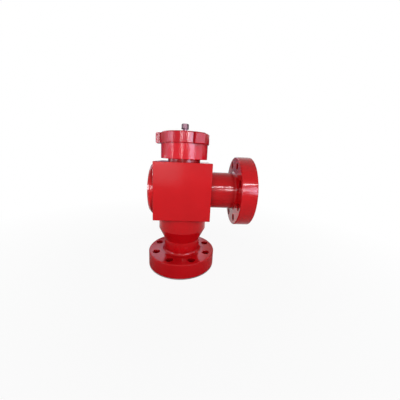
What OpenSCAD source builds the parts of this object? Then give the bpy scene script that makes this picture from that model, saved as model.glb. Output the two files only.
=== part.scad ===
// Angle-type positive choke valve with integral flanges and a hammer-lug bonnet nut.
// The origin is the centre of the outlet flange's raised face, where the valve stands.
// +Z runs up the bonnet axis, and +X points out of the inlet flange.

/* [Flanges] */
// Outside diameter of both flanges
flange_d = 269.9; // [262:0.1:280]
// Thickness of both flanges, with the raised face
flange_t = 58.4; // [50:0.1:66]
// Distance from the circle of bolt holes out to the rim
bolt_margin = 27; // [22:0.1:30]
// Diameter of each bolt hole
bolt_hole_d = 28.5; // [20:0.1:30]
// Number of bolt holes in each flange
bolt_count = 8; // [6:2:10]
// Distance from the circle of bolt holes in to the hub behind the flange
hub_margin = 36.6; // [30:0.1:40]
// Radius of the fillet between hub and flange
hub_fillet = 9.5; // [4:0.1:10]
// Chamfer on the flange rims
flange_edge = 2.5; // [0.5:0.1:5]
// Diameter of the raised face
face_d = 152.4; // [146:0.1:160]
// Height of the raised face
face_h = 1.6; // [0.5:0.1:4]
// Bore through both flanges
bore_d = 77.8; // [74:0.1:80]
// Outside diameter of the ring gasket groove, at the face
groove_d = 119; // [114:0.1:124]
// Width of the ring gasket groove, at the face
groove_w = 15.39; // [11:0.01:17]
// Depth of the ring gasket groove
groove_deep = 7.54; // [5:0.01:9]
// Slope of the groove's two walls
groove_slope = 23; // [10:1:30]

/* [Body] */
// Height of the inlet axis above the outlet face
inlet_axis_h = 311.5; // [300:0.5:330]
// Distance from the bonnet axis to the inlet face
inlet_reach = 259.1; // [240:0.1:300]
// Width of the forged block, along X
block_w = 204; // [190:1:220]
// Depth of the forged block, along Y
block_deep = 204; // [190:1:220]
// Height of the block's underside above the outlet face
block_base_h = 211; // [200:1:215]
// Height of the block's top above the outlet face
block_top_h = 419; // [400:1:430]
// Chamfer along the block's edges
block_edge = 1.5; // [0.5:0.1:4]
// Diameter of the blind turned boss opposite the inlet
boss_d = 201; // [150:1:204]
// How far the boss stands out of the block
boss_out = 20.3; // [8:0.1:30]
// Chamfer round the boss's rim
boss_edge = 7.5; // [1:0.5:7.5]
// Diameter of the turned barrel below the block
barrel_d = 189.2; // [170:0.1:200]
// Height of the barrel
barrel_h = 55; // [40:1:60]
// Height of the cone from the barrel down to the hub
cone_h = 47; // [30:1:60]

/* [Bonnet neck] */
// Diameter over the crests of the neck's thread
neck_d = 124.6; // [120:0.1:132]
// Height of the threaded neck above the block
neck_h = 53; // [48:0.5:60]
// Depth of the thread on the neck
thread_deep = 3.2; // [2:0.1:4]
// Gap left between block and nut
nut_gap = 10.4; // [6:0.1:14]
// Chamfer at the neck's top edge
neck_edge = 2; // [0.5:0.1:4]

/* [Cavity and seat] */
// Diameter of the flow cavity, which the plug closes
cavity_d = 84; // [81:0.5:90]
// Depth of the cavity's floor below the inlet axis
cavity_deep = 61.5; // [55:0.5:64]
// Diameter of the tapped seat hole in the cavity's floor
seat_d = 66; // [62:0.5:70]
// Height of the wall that holds the seat hole
seat_wall = 60; // [45:1:65]

/* [Bean adapter] */
// Width across the flats of the adapter's hexagon
adapter_hex = 68; // [60:0.5:70]
// Height of the adapter's hexagon
adapter_hex_h = 18; // [12:0.5:20]
// Length of the adapter's shank
adapter_shank = 56; // [40:1:60]
// Thickness of the flat gaskets under adapter and bean
gasket_t = 2; // [1:0.1:3]

/* [Flow bean] */
// Diameter of the bean's threaded shank
bean_d = 44.4; // [42:0.1:48]
// Length of the shank below the bean's collar
bean_shank = 142; // [110:1:150]
// Width across the flats of the bean's hexagon
bean_hex = 50; // [46:0.5:52]
// Height of the bean's hexagon
bean_hex_h = 22; // [16:0.5:26]
// Diameter of the round collar under the hexagon
bean_collar_d = 58; // [56:0.5:62]
// Thickness of that collar
bean_collar_h = 4; // [3:0.5:6]
// Outside diameter of the carbide liner
liner_d = 34; // [31:0.5:37]
// Flow hole through the liner, the choke's fixed opening
orifice_d = 25.4; // [22:0.1:27]
// Radius of the rounded entry into the flow hole
entry_r = 3.5; // [1:0.1:3.5]

/* [Outlet sleeve] */
// Inside diameter of the wear sleeve
sleeve_bore_d = 64; // [60:0.5:66]
// Length of the wear sleeve
sleeve_len = 108; // [80:1:110]
// Thickness of the sleeve's snap ring
sleeve_ring_t = 4; // [3:0.1:5]
// Section diameter of the sleeve's O-ring
sleeve_seal_d = 3.5; // [2.5:0.1:4]

/* [Bonnet nut] */
// Diameter of the nut's skirt
nut_d = 177.8; // [170:0.1:184]
// Height of the skirt below the lug band
skirt_h = 55; // [50:0.5:62]
// Diameter of the lug band
band_d = 187; // [184:0.1:196]
// Height of the lug band
band_h = 39; // [34:0.5:44]
// Chamfer round the top of the nut
nut_edge = 3; // [1:0.5:8]
// Chamfer round the foot of the skirt
skirt_edge = 1.5; // [0.5:0.1:3]
// Number of hammer lugs
lug_count = 3; // [2:1:4]
// Diameter over the tips of the lugs
lug_span = 214; // [205:0.5:224]
// Width of each lug
lug_w = 40; // [28:0.5:44]
// Height of each lug
lug_h = 38; // [30:0.5:42]
// Chamfer on the lug's corners
lug_edge = 2; // [1:0.5:5]
// Direction of the lug that points to the front
lug_angle = -58; // [-180:1:180]
// Thickness of the nut's top wall
nut_wall = 24; // [18:0.5:26]
// Diameter of the recess in the nut's top
recess_d = 104; // [98:0.5:120]

/* [Blanking plug] */
// Thickness of the plug's shoulder, which the nut presses down
shoulder_h = 16; // [12:0.5:20]
// Diameter of the plug's shoulder
shoulder_d = 120; // [112:0.5:122]
// Length of the plug's nose in the cavity
nose_len = 107; // [90:1:108]
// Diameter of the plug's hub through the nut
plug_hub_d = 76; // [70:0.5:80]
// Depth of the hub's top below the nut's top
hub_drop = 5; // [0.5:0.1:7]
// Distance from the nose's tip to the plug's seal groove
seal_up = 27; // [16:0.5:40]
// Section diameter of the plug's O-ring
seal_d = 5.3; // [4:0.1:6]
// Thickness of each backup ring
backup_t = 2.2; // [1.5:0.1:3]
// Thickness of the snap ring that holds the nut on the plug
plug_ring_t = 4; // [3:0.1:5]
// Diameter of the dished hollow in the nose's tip
dish_d = 44; // [30:1:60]
// Depth of that hollow
dish_deep = 12; // [6:0.5:20]

/* [Vent fitting] */
// Diameter of the fitting's threaded shank
vent_thread_d = 21.3; // [20:0.1:24]
// Length of the fitting's threaded shank
vent_shank = 24.5; // [22:0.5:28]
// Diameter of the fitting's neck
vent_neck_d = 18; // [16:0.1:19]
// Height of the neck above the plug
vent_neck_h = 33.5; // [31:0.5:36]
// Depth of the thread at the neck's top, which the cap screws onto
vent_thread_deep = 1; // [0.5:0.1:1.2]
// Vent port through the fitting's top
vent_port_d = 5; // [3:0.1:6]
// Chamber for ball and spring
vent_chamber_d = 10; // [9:0.1:11]
// Length of the part of the port above the ball's seat
vent_port_h = 19.5; // [15:0.5:22]
// Diameter of the check ball
ball_d = 9; // [7.5:0.1:9]
// Wire diameter of the ball's spring
spring_wire = 1.2; // [0.8:0.1:1.4]
// Number of turns in the spring
spring_turns = 5; // [4:1:7]
// Thickness of the screwed spring seat
spring_seat_t = 6; // [4:0.5:7]
// Width across the flats of the vent cap
cap_hex = 24; // [23:0.5:28]
// Height of the vent cap
cap_h = 18.2; // [16:0.1:22]
// Diameter of the collar round the cap's foot
cap_collar_d = 29; // [28:0.5:34]
// Height of that collar
cap_collar_h = 3; // [2:0.1:4]
// Height of the bare neck between plug and cap
cap_gap = 22.2; // [20:0.1:24]
// Thickness of the gasket in the cap
cap_gasket_t = 1; // [0.5:0.1:1.5]

/* [Fits] */
// Radial clearance of a piece that slides or turns in its bore
running_gap = 0.08; // [0.03:0.01:0.1]
// Radial clearance of a screwed or pressed piece
close_gap = 0.05; // [0.02:0.01:0.1]
// Clearance of a soft seal from the bore that it closes
seal_gap = 0.3; // [0.2:0.05:0.4]
// End play of rings in their grooves
end_play = 0.2; // [0.1:0.05:0.4]

/* [Hidden] */
$fn = 96;
overrun = 1;

// The flanges' bolt circle and hub
bolt_circle_d = flange_d - 2 * bolt_margin;
hub_d = bolt_circle_d - 2 * hub_margin;

// Heights of the main faces
block_h = block_top_h - block_base_h;
barrel_base_h = block_base_h - barrel_h;
cone_base_h = barrel_base_h - cone_h;
neck_top_h = block_top_h + neck_h;
floor_h = inlet_axis_h - cavity_deep;
seat_base_h = floor_h - seat_wall;

// The adapter, and the bean that screws into it
adapter_foot_h = floor_h + gasket_t;
adapter_top_h = adapter_foot_h + adapter_hex_h;
bean_foot_h = adapter_top_h + gasket_t;
bean_hex_base_h = bean_foot_h + bean_collar_h;
bean_top_h = bean_hex_base_h + bean_hex_h;
bean_tip_h = bean_foot_h - bean_shank;

// The outlet sleeve hangs between the seat wall and its snap ring
sleeve_top_h = seat_base_h - gasket_t;
sleeve_base_h = sleeve_top_h - sleeve_len;
sleeve_seal_h = sleeve_top_h - 4 * sleeve_seal_d;
ring_section = 6 * close_gap + sleeve_ring_t;
sleeve_groove_d = bore_d + 1.5 * sleeve_ring_t;

// The plug and the nut that holds it down
shoulder_top_h = neck_top_h + shoulder_h;
nut_base_h = block_top_h + nut_gap;
band_base_h = nut_base_h + skirt_h;
nut_top_h = band_base_h + band_h;
recess_floor_h = shoulder_top_h + nut_wall;
nut_bore_d = neck_d + 2 * seal_gap;
plug_hub_top_h = nut_top_h - hub_drop;
nose_tip_h = neck_top_h - nose_len;
nose_d = cavity_d - 2 * running_gap;
seal_groove_h = nose_tip_h + seal_up;
seal_room = seal_d + 2 * seal_gap;
seal_groove_d = cavity_d - 2 * seal_gap - 2 * seal_d - 2 * close_gap;
plug_ring_h = recess_floor_h + end_play;

// The vent fitting in the plug's hub
vent_foot_h = plug_hub_top_h - vent_shank;
vent_top_h = plug_hub_top_h + vent_neck_h;
seat_cone_top_h = vent_top_h - vent_port_h;
seat_cone_h = (vent_chamber_d - vent_port_d) / 2;
// A ball that touches a 45 degree cone has its centre this far below the cone's tip
ball_centre_h = seat_cone_top_h + vent_port_d / 2 - sqrt(2) * (ball_d / 2 + close_gap);
spring_base_h = vent_foot_h + spring_seat_t;
spring_coil_r = (vent_chamber_d - spring_wire) / 2 - seal_gap;
// The last turn's wire touches the ball, so its centre line lies this far below the ball's centre
spring_clasp_h = sqrt(pow((ball_d + spring_wire) / 2 + close_gap, 2) - pow(spring_coil_r, 2));
cap_foot_h = plug_hub_top_h + cap_gap;
cap_top_h = cap_foot_h + cap_h;
cap_roof_h = vent_top_h + cap_gasket_t;
vent_thread_h = cap_foot_h + cap_collar_h;

// Profile helpers

// A turned disc or shaft from one height to another, chamfered at the foot and at the top
module turned(d, base, top, foot_edge = 0, top_edge = 0) {
  rotate_extrude()
    polygon([
      [0, base],
      [d / 2 - foot_edge, base],
      [d / 2, base + foot_edge],
      [d / 2, top - top_edge],
      [d / 2 - top_edge, top],
      [0, top]
    ]);
}

// A straight hole from one height to another
module hole(d, base, top) {
  translate([0, 0, base])
    cylinder(d = d, h = top - base);
}

// A flat or tall ring with square corners
module ring(outer_d, inner_d, base, top) {
  rotate_extrude()
    translate([inner_d / 2, base])
      square([(outer_d - inner_d) / 2, top - base]);
}

// A ring of round section, resting between its groove and its bore
module o_ring(middle_d, section_d, height) {
  translate([0, 0, height])
    rotate_extrude()
      translate([middle_d / 2, 0])
        circle(d = section_d);
}

// A hexagonal bar with the width across its flats, its top corners turned down to the flats
module hexagon(flats, base, top) {
  corners = flats / cos(30);
  corner_drop = (corners - flats) / 2;
  intersection() {
    translate([0, 0, base])
      linear_extrude(top - base)
        circle(d = corners, $fn = 6);
    turned(corners + corner_drop, base - overrun, top, 0, corner_drop * 3 / 2);
  }
}

// A snap ring of square section, open at one side, with a plier ear at each end
module snap_ring(outer_d, inner_d, base, thick, ears_out) {
  ring_w = (outer_d - inner_d) / 2;
  ear_d = ring_w * 3 / 2;
  ear_r = (ears_out ? inner_d + ear_d : outer_d - ear_d) / 2;
  ear_angle = 15;
  hole_d = ear_d / 3;
  translate([0, 0, base])
    difference() {
      union() {
        difference() {
          cylinder(d = outer_d, h = thick);
          translate([0, 0, -overrun])
            cylinder(d = inner_d, h = thick + 2 * overrun);
          translate([0, 0, -overrun])
            linear_extrude(thick + 2 * overrun)
              polygon([
                [0, 0],
                outer_d * [cos(ear_angle), -sin(ear_angle)],
                outer_d * [cos(ear_angle), sin(ear_angle)]
              ]);
        }
        for (side = [-1, 1])
          rotate([0, 0, side * ear_angle * 4 / 3])
            translate([ear_r, 0, 0])
              cylinder(d = ear_d, h = thick);
      }
      for (side = [-1, 1])
        rotate([0, 0, side * ear_angle * 4 / 3])
          translate([ear_r, 0, -overrun])
            cylinder(d = hole_d, h = thick + 2 * overrun);
    }
}

// Half of a flange's section: raised face at height 0, plate, fillet, and hub up to the given height
module flange_profile(hub_top) {
  difference() {
    polygon([
      [0, 0],
      [face_d / 2, 0],
      [face_d / 2, face_h],
      [flange_d / 2 - flange_edge, face_h],
      [flange_d / 2, face_h + flange_edge],
      [flange_d / 2, flange_t - flange_edge],
      [flange_d / 2 - flange_edge, flange_t],
      [hub_d / 2 + hub_fillet, flange_t],
      [hub_d / 2 + hub_fillet, flange_t + hub_fillet],
      [hub_d / 2, flange_t + hub_fillet],
      [hub_d / 2, hub_top],
      [0, hub_top]
    ]);
    translate([hub_d / 2 + hub_fillet, flange_t + hub_fillet])
      circle(r = hub_fillet);
  }
}

module flanged_end(hub_top) {
  rotate_extrude()
    flange_profile(hub_top);
}

// What is cut from a flange: the ring groove and the bolt holes, which straddle the centre lines
module flange_cuts() {
  groove_in = groove_deep * tan(groove_slope);
  rotate_extrude()
    polygon([
      [groove_d / 2 - groove_w, -overrun],
      [groove_d / 2, -overrun],
      [groove_d / 2, 0],
      [groove_d / 2 - groove_in, groove_deep],
      [groove_d / 2 - groove_w + groove_in, groove_deep],
      [groove_d / 2 - groove_w, 0]
    ]);
  for (i = [0 : bolt_count - 1])
    rotate([0, 0, (i + 1 / 2) * 360 / bolt_count])
      translate([bolt_circle_d / 2, 0, 0])
        hole(bolt_hole_d, -overrun, flange_t + overrun);
}

// Carries a shape drawn up from a flange's face to the inlet, where up is towards the block
module at_inlet() {
  translate([inlet_reach, 0, inlet_axis_h])
    rotate([0, -90, 0])
      children();
}

// A square with its four corners cut off, centred on both axes
module cut_square(size_x, size_y, edge) {
  polygon([
    for (corner = [[1, 1], [-1, 1], [-1, -1], [1, -1]])
      for (cut = corner[0] * corner[1] > 0 ? [[0, 1], [1, 0]] : [[1, 0], [0, 1]])
        [corner[0] * (size_x / 2 - cut[0] * edge), corner[1] * (size_y / 2 - cut[1] * edge)]
  ]);
}

// The forged block, with all twelve edges chamfered
module block() {
  translate([0, 0, block_base_h + block_h / 2])
    intersection() {
      linear_extrude(block_h, center = true)
        cut_square(block_w, block_deep, block_edge);
      rotate([90, 0, 0])
        linear_extrude(block_deep, center = true)
          cut_square(block_w, block_h, block_edge);
      rotate([90, 0, 90])
        linear_extrude(block_w, center = true)
          cut_square(block_deep, block_h, block_edge);
    }
}

// Bonnet neck: a plain land under the nut, then the thread, drawn at the diameter of its root
module neck() {
  root_d = neck_d - 2 * thread_deep;
  land_h = nut_gap + skirt_edge;
  turned(neck_d, block_top_h - overrun, block_top_h + land_h, 0, thread_deep / 2);
  turned(root_d, block_top_h - overrun, neck_top_h, 0, neck_edge);
}

// One forging: block, boss, barrel, cone, neck and both flanged ends, with every bore cut through them
module valve_body() {
  color("firebrick")
    difference() {
      union() {
        block();
        translate([-block_w / 2 - boss_out, 0, inlet_axis_h])
          rotate([0, 90, 0])
            turned(boss_d, 0, block_w / 2 + boss_out, boss_edge, 0);
        rotate_extrude()
          polygon([
            [0, cone_base_h],
            [hub_d / 2, cone_base_h],
            [barrel_d / 2, barrel_base_h],
            [barrel_d / 2, block_base_h + overrun],
            [0, block_base_h + overrun]
          ]);
        neck();
        flanged_end(cone_base_h);
        at_inlet()
          flanged_end(inlet_reach - block_w / 2 + overrun);
      }
      flange_cuts();
      at_inlet()
        flange_cuts();
      hole(bore_d, -overrun, seat_base_h);
      hole(seat_d, seat_base_h - overrun, floor_h + overrun);
      hole(cavity_d, floor_h, neck_top_h + overrun);
      at_inlet()
        hole(bore_d, -overrun, inlet_reach - bean_collar_d / 2 - end_play);
      ring_groove = sleeve_base_h - end_play - ring_section;
      hole(sleeve_groove_d, ring_groove, ring_groove + ring_section);
    }
}

// Flat gasket between the cavity's floor and the adapter
module adapter_gasket() {
  color("darkkhaki")
    ring(adapter_hex, seat_d, floor_h, adapter_foot_h);
}

// Screwed seat that carries the bean: a big hexagon over a threaded shank
module bean_adapter() {
  color("lightslategray")
    difference() {
      union() {
        hexagon(adapter_hex, adapter_foot_h, adapter_top_h);
        turned(seat_d - 2 * close_gap, adapter_foot_h - adapter_shank, adapter_foot_h + overrun, flange_edge, 0);
      }
      hole(bean_d + 2 * close_gap, adapter_foot_h - adapter_shank - overrun, adapter_top_h + overrun);
    }
}

// Flat gasket between the adapter and the bean's collar
module bean_gasket() {
  color("darkkhaki")
    ring(bean_collar_d, bean_d + 2 * close_gap, adapter_top_h, bean_foot_h);
}

// Steel jacket of the bean: hexagon for the wrench, collar, and a long shank with a relieved tip
module flow_bean() {
  relief = bean_d / 40;
  thread_end_h = adapter_foot_h - adapter_shank;
  color("silver")
    difference() {
      union() {
        hexagon(bean_hex, bean_hex_base_h, bean_top_h);
        turned(bean_collar_d, bean_foot_h, bean_hex_base_h + overrun, 0, 0);
        turned(bean_d, thread_end_h, bean_foot_h + overrun, 0, 0);
        turned(bean_d - 2 * relief, bean_tip_h, thread_end_h + overrun, relief, 0);
      }
      hole(liner_d + 2 * close_gap, bean_tip_h - overrun, bean_top_h + overrun);
    }
}

// Carbide liner with the fixed flow hole, rounded where the flow enters
module bean_liner() {
  color("dimgray")
    rotate_extrude()
      difference() {
        translate([orifice_d / 2, bean_tip_h])
          square([(liner_d - orifice_d) / 2, bean_top_h - bean_tip_h]);
        difference() {
          translate([orifice_d / 2 - overrun, bean_top_h - entry_r])
            square([entry_r + overrun, entry_r + overrun]);
          translate([orifice_d / 2 + entry_r, bean_top_h - entry_r])
            circle(r = entry_r);
        }
      }
}

// Wear sleeve below the bean, with a flared top and a groove for its O-ring
module outlet_sleeve() {
  flare = gasket_t;
  color("slategray")
    difference() {
      turned(bore_d - 2 * running_gap, sleeve_base_h, sleeve_top_h, 0, flare / 2);
      hole(sleeve_bore_d, sleeve_base_h - overrun, sleeve_top_h + overrun);
      translate([0, 0, sleeve_top_h - flare])
        cylinder(d1 = sleeve_bore_d, d2 = sleeve_bore_d + 2 * flare, h = flare + close_gap);
      ring(bore_d + overrun, bore_d - 2 * sleeve_seal_d, sleeve_seal_h - sleeve_seal_d, sleeve_seal_h + sleeve_seal_d);
    }
}

module sleeve_seal() {
  section_d = sleeve_seal_d - 4 * close_gap;
  color("black")
    o_ring(bore_d - sleeve_seal_d, section_d, sleeve_seal_h);
}

// Internal snap ring under the sleeve
module sleeve_snap_ring() {
  color("gray")
    snap_ring(
      sleeve_groove_d - 2 * end_play, sleeve_bore_d + sleeve_ring_t,
      sleeve_base_h - end_play - sleeve_ring_t - 3 * close_gap, sleeve_ring_t, false
    );
}

// Blanking plug: nose in the cavity, shoulder on the neck, and a hub up through the nut
module blanking_plug() {
  ring_room = plug_ring_t + end_play;
  groove_room = seal_room + 2 * (backup_t + close_gap);
  nose_lead = 3 * neck_edge / 2;
  color("lightslategray")
    difference() {
      union() {
        turned(nose_d, nose_tip_h, neck_top_h + overrun, nose_lead, 0);
        turned(shoulder_d, neck_top_h, shoulder_top_h, 0, neck_edge);
        turned(plug_hub_d, neck_top_h, plug_hub_top_h, 0, neck_edge);
      }
      ring(cavity_d + overrun, seal_groove_d, seal_groove_h, seal_groove_h + groove_room);
      ring(plug_hub_d + overrun, plug_hub_d - plug_ring_t, plug_ring_h, plug_ring_h + ring_room);
      rotate_extrude()
        polygon([
          [0, nose_tip_h - overrun],
          [dish_d / 2, nose_tip_h - overrun],
          [dish_d / 2, nose_tip_h],
          [dish_d / 2 - dish_deep / 2, nose_tip_h + dish_deep],
          [0, nose_tip_h + dish_deep]
        ]);
      hole(vent_port_d, nose_tip_h, vent_foot_h + overrun);
      hole(vent_thread_d + 2 * close_gap, vent_foot_h - close_gap, plug_hub_top_h + overrun);
    }
}

// The O-ring sits between two backup rings
module plug_seal() {
  color("black")
    o_ring(
      cavity_d - 2 * seal_gap - seal_d, seal_d - close_gap,
      seal_groove_h + backup_t + close_gap + seal_room / 2
    );
}

module lower_backup_ring() {
  color("ivory")
    ring(cavity_d - 2 * seal_gap, seal_groove_d + 2 * close_gap, seal_groove_h, seal_groove_h + backup_t);
}

module upper_backup_ring() {
  base = seal_groove_h + backup_t + 2 * close_gap + seal_room;
  color("ivory")
    ring(cavity_d - 2 * seal_gap, seal_groove_d + 2 * close_gap, base, base + backup_t);
}

// External snap ring that makes the nut lift the plug as it is unscrewed
module plug_snap_ring() {
  color("gray")
    snap_ring(
      plug_hub_d + 3 * plug_ring_t, plug_hub_d - plug_ring_t + 2 * close_gap,
      plug_ring_h + end_play / 2, plug_ring_t, true
    );
}

// One hammer lug, drawn along +X from the band outwards, with a sloping tip
module lug() {
  root = band_d / 2 - 2 * lug_edge;
  tip = lug_span / 2;
  base = nut_top_h - nut_edge / 2 - lug_h;
  intersection() {
    rotate([90, 0, 0])
      linear_extrude(lug_w, center = true)
        polygon([
          [root, base],
          [tip - lug_edge, base],
          [tip, base + lug_edge],
          [tip, base + lug_h - 2 * lug_edge],
          [tip - 2 * lug_edge, base + lug_h],
          [root, base + lug_h]
        ]);
    linear_extrude(nut_top_h + overrun)
      polygon([
        [0, -lug_w / 2],
        [tip - lug_edge, -lug_w / 2],
        [tip, -lug_w / 2 + lug_edge],
        [tip, lug_w / 2 - lug_edge],
        [tip - lug_edge, lug_w / 2],
        [0, lug_w / 2]
      ]);
  }
}

// Hammer-lug nut: skirt, lug band, hollow that screws over the neck, and a top recess for the snap ring
module bonnet_nut() {
  seam = skirt_edge;
  color("firebrick")
    difference() {
      union() {
        turned(nut_d, nut_base_h, band_base_h + seam, skirt_edge, 0);
        turned(band_d, band_base_h, nut_top_h, seam, nut_edge);
        for (i = [0 : lug_count - 1])
          rotate([0, 0, lug_angle + i * 360 / lug_count])
            lug();
      }
      turned(nut_bore_d, nut_base_h - overrun, shoulder_top_h, 0, 0);
      translate([0, 0, nut_base_h])
        cylinder(d1 = nut_bore_d + 2 * skirt_edge, d2 = nut_bore_d, h = skirt_edge);
      hole(plug_hub_d + 2 * running_gap, shoulder_top_h - overrun, nut_top_h);
      hole(recess_d, recess_floor_h, nut_top_h + overrun);
    }
}

// Vent fitting: threaded shank, bare neck, and a chamber with a coned seat for the ball
module vent_body() {
  color("silver")
    difference() {
      union() {
        turned(vent_thread_d, vent_foot_h, plug_hub_top_h, skirt_edge / 2, 0);
        turned(vent_neck_d, plug_hub_top_h - overrun, vent_thread_h, 0, vent_thread_deep);
        turned(vent_neck_d - 2 * vent_thread_deep, plug_hub_top_h, vent_top_h, 0, skirt_edge / 2);
      }
      hole(vent_port_d, seat_cone_top_h, vent_top_h + overrun);
      rotate_extrude()
        polygon([
          [0, vent_foot_h - overrun],
          [vent_chamber_d / 2, vent_foot_h - overrun],
          [vent_chamber_d / 2, seat_cone_top_h - seat_cone_h],
          [vent_port_d / 2, seat_cone_top_h],
          [vent_port_d / 2, seat_cone_top_h + overrun],
          [0, seat_cone_top_h + overrun]
        ]);
    }
}

// Ball that closes the vent from below
module vent_ball() {
  color("gainsboro")
    translate([0, 0, ball_centre_h])
      sphere(d = ball_d);
}

// Coil spring that holds the ball up, a tube swept along a helix with closed ends
module vent_spring() {
  steps = 14;
  sides = 6;
  first_h = spring_base_h + spring_wire / 2 + close_gap;
  rise = ball_centre_h - spring_clasp_h - first_h;
  count = spring_turns * steps;
  points = [
    for (i = [0 : count])
      for (j = [0 : sides - 1])
        let (
          turn = 360 * i / steps,
          around = 360 * j / sides,
          r = spring_coil_r + spring_wire / 2 * cos(around),
          z = first_h + rise * i / count + spring_wire / 2 * sin(around)
        )
        [r * cos(turn), r * sin(turn), z]
  ];
  walls = [
    for (i = [0 : count - 1])
      for (j = [0 : sides - 1])
        let (
          a = i * sides + j,
          b = i * sides + (j + 1) % sides
        )
        [a, a + sides, b + sides, b]
  ];
  first_end = [for (j = [0 : sides - 1]) j];
  last_end = [for (j = [sides - 1 : -1 : 0]) count * sides + j];
  color("gainsboro")
    polyhedron(points, concat(walls, [first_end, last_end]));
}

// Screwed seat under the spring, with a hole for the flow and a screwdriver slot
module spring_seat() {
  slot_w = spring_wire * 3 / 2;
  color("darkgoldenrod")
    difference() {
      turned(vent_chamber_d - 2 * close_gap, vent_foot_h, spring_base_h, close_gap, close_gap);
      hole(vent_port_d / 2, vent_foot_h - overrun, spring_base_h + overrun);
      translate([-vent_chamber_d / 2, -slot_w / 2, vent_foot_h - overrun])
        cube([vent_chamber_d, slot_w, slot_w + overrun]);
    }
}

// Soft washer between the neck's end and the cap's roof
module cap_gasket() {
  color("darkkhaki")
    ring(vent_neck_d - skirt_edge, vent_port_d + skirt_edge, vent_top_h, cap_roof_h);
}

// Hexagonal vent cap over the neck, with a round collar at its foot
module vent_cap() {
  color("silver")
    difference() {
      union() {
        hexagon(cap_hex, cap_foot_h + cap_collar_h / 2, cap_top_h);
        turned(cap_collar_d, cap_foot_h, cap_foot_h + cap_collar_h, skirt_edge / 2, skirt_edge / 2);
      }
      hole(vent_neck_d + 2 * running_gap, cap_foot_h - overrun, cap_roof_h);
    }
}

valve_body();
adapter_gasket();
bean_adapter();
bean_gasket();
flow_bean();
bean_liner();
outlet_sleeve();
sleeve_seal();
sleeve_snap_ring();
blanking_plug();
plug_seal();
lower_backup_ring();
upper_backup_ring();
plug_snap_ring();
bonnet_nut();
vent_body();
vent_ball();
vent_spring();
spring_seat();
cap_gasket();
vent_cap();
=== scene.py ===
"""Looks of a choke valve: enamelled forging, hammer-lug nut, vent fitting and the screwed bean."""

import logging
import math
from dataclasses import dataclass, field
from enum import Enum
from typing import Any, Sequence

import bpy
from mathutils import Matrix, Vector


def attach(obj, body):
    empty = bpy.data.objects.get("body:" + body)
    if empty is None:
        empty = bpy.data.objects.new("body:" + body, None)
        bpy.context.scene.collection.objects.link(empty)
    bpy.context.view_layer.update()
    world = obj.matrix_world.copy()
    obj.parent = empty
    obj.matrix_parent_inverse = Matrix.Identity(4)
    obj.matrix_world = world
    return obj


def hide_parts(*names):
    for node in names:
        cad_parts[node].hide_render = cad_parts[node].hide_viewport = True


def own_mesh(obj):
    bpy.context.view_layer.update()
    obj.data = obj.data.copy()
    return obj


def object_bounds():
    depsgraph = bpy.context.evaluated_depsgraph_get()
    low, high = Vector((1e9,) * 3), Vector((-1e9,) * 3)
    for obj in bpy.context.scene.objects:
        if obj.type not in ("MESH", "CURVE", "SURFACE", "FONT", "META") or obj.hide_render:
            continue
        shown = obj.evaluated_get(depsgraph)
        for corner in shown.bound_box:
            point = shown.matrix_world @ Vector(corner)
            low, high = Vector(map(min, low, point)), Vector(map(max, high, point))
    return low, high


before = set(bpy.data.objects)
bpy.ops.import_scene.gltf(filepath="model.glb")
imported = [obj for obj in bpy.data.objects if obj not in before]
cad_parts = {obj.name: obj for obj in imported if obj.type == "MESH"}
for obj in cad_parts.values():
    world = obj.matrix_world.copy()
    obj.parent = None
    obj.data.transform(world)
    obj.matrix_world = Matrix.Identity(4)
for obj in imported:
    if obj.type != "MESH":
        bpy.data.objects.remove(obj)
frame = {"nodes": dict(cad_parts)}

CAD_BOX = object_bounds()
LOG = logging.getLogger("choke_valve")

Colour = tuple[float, float, float]
Point = tuple[float, float, float]
Face = tuple[int, ...]

WHITE = (1.0, 1.0, 1.0, 1.0)
EDGE_SAMPLES = 6

# The Mix node's colour sockets, by number, because those for numbers and vectors share their names.
MIX_SHARE, MIX_FIRST, MIX_SECOND, MIX_RESULT = 0, 6, 7, 2


# Shader graph


@dataclass(frozen=True)
class Noise:
    """A noise pattern: its cells per metre, how many finer layers it has, and their strength."""

    cells: float
    layers: float = 2.0
    grit: float = 0.5


class Value:
    """A shader value that takes part in Python arithmetic."""

    def __init__(self, graph: "Graph", socket: bpy.types.NodeSocket) -> None:
        """Keeps the socket and the graph that it belongs to."""
        self.graph = graph
        self.socket = socket

    def _math(self, operation: str, *others: "Value | float", clamp: bool = False) -> "Value":
        """Adds one Math node.

        Args:
            operation: the Math node's operation.
            others: what comes after this value.
            clamp: whether the result is held between 0 and 1.

        Returns:
            The node's result.
        """
        settings = {"operation": operation, "use_clamp": clamp}
        inputs = dict(enumerate((self, *others)))
        return self.graph.value("ShaderNodeMath", "Value", settings, inputs)

    def __add__(self, other: "Value | float") -> "Value":
        """self + other."""
        return self._math("ADD", other)

    __radd__ = __add__

    def __sub__(self, other: "Value | float") -> "Value":
        """self - other."""
        return self._math("SUBTRACT", other)

    def __rsub__(self, other: float) -> "Value":
        """other - self."""
        return (self * -1) + other

    def __mul__(self, other: "Value | float") -> "Value":
        """self * other."""
        return self._math("MULTIPLY", other)

    __rmul__ = __mul__

    def __truediv__(self, other: "Value | float") -> "Value":
        """self / other."""
        return self._math("DIVIDE", other)

    def __rtruediv__(self, other: float) -> "Value":
        """other / self."""
        return self._math("POWER", -1) * other

    def __pow__(self, exponent: float) -> "Value":
        """self ** exponent."""
        return self._math("POWER", exponent)

    def larger(self, other: "Value | float") -> "Value":
        """The larger of the two."""
        return self._math("MAXIMUM", other)

    def clamped(self) -> "Value":
        """The value held between 0 and 1."""
        return self._math("ADD", 0.0, clamp=True)

    def above(self, level: float, soft: float) -> "Value":
        """0 below the level and 1 above it, over a soft step."""
        return ((self - level) / soft + 0.5).clamped()

    def below(self, level: float, soft: float) -> "Value":
        """1 below the level and 0 above it, over a soft step."""
        return 1 - self.above(level, soft)


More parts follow.
